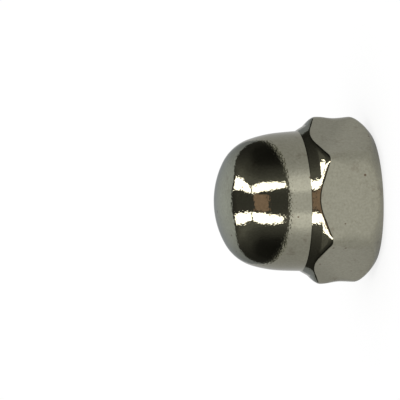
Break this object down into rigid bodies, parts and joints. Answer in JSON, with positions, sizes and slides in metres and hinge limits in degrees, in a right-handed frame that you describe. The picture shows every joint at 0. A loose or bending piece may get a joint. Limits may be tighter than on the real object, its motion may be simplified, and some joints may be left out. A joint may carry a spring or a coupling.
{
  "type": "cap nut",
  "caption": "Hexagon cap nut with a domed closed end, a fine blind thread, chamfered corners and a flat bearing ring.",
  "frame": {"origin": "centre of the flat bearing ring, on the thread axis", "axes": "+Z along the thread axis, from the bearing ring to the crown of the dome; two opposite flats face -Y and +Y, and two opposite corners point to -X and +X"},
  "size_m": [0.017, 0.015, 0.0159],
  "materials": {
    "nickel_plate": "bright nickel plating over steel, polished, with fine pits and faint brown stains"
  },
  "bodies": {
    "root": {"cap_nut": "nickel_plate"}
  },
  "joints": []
}
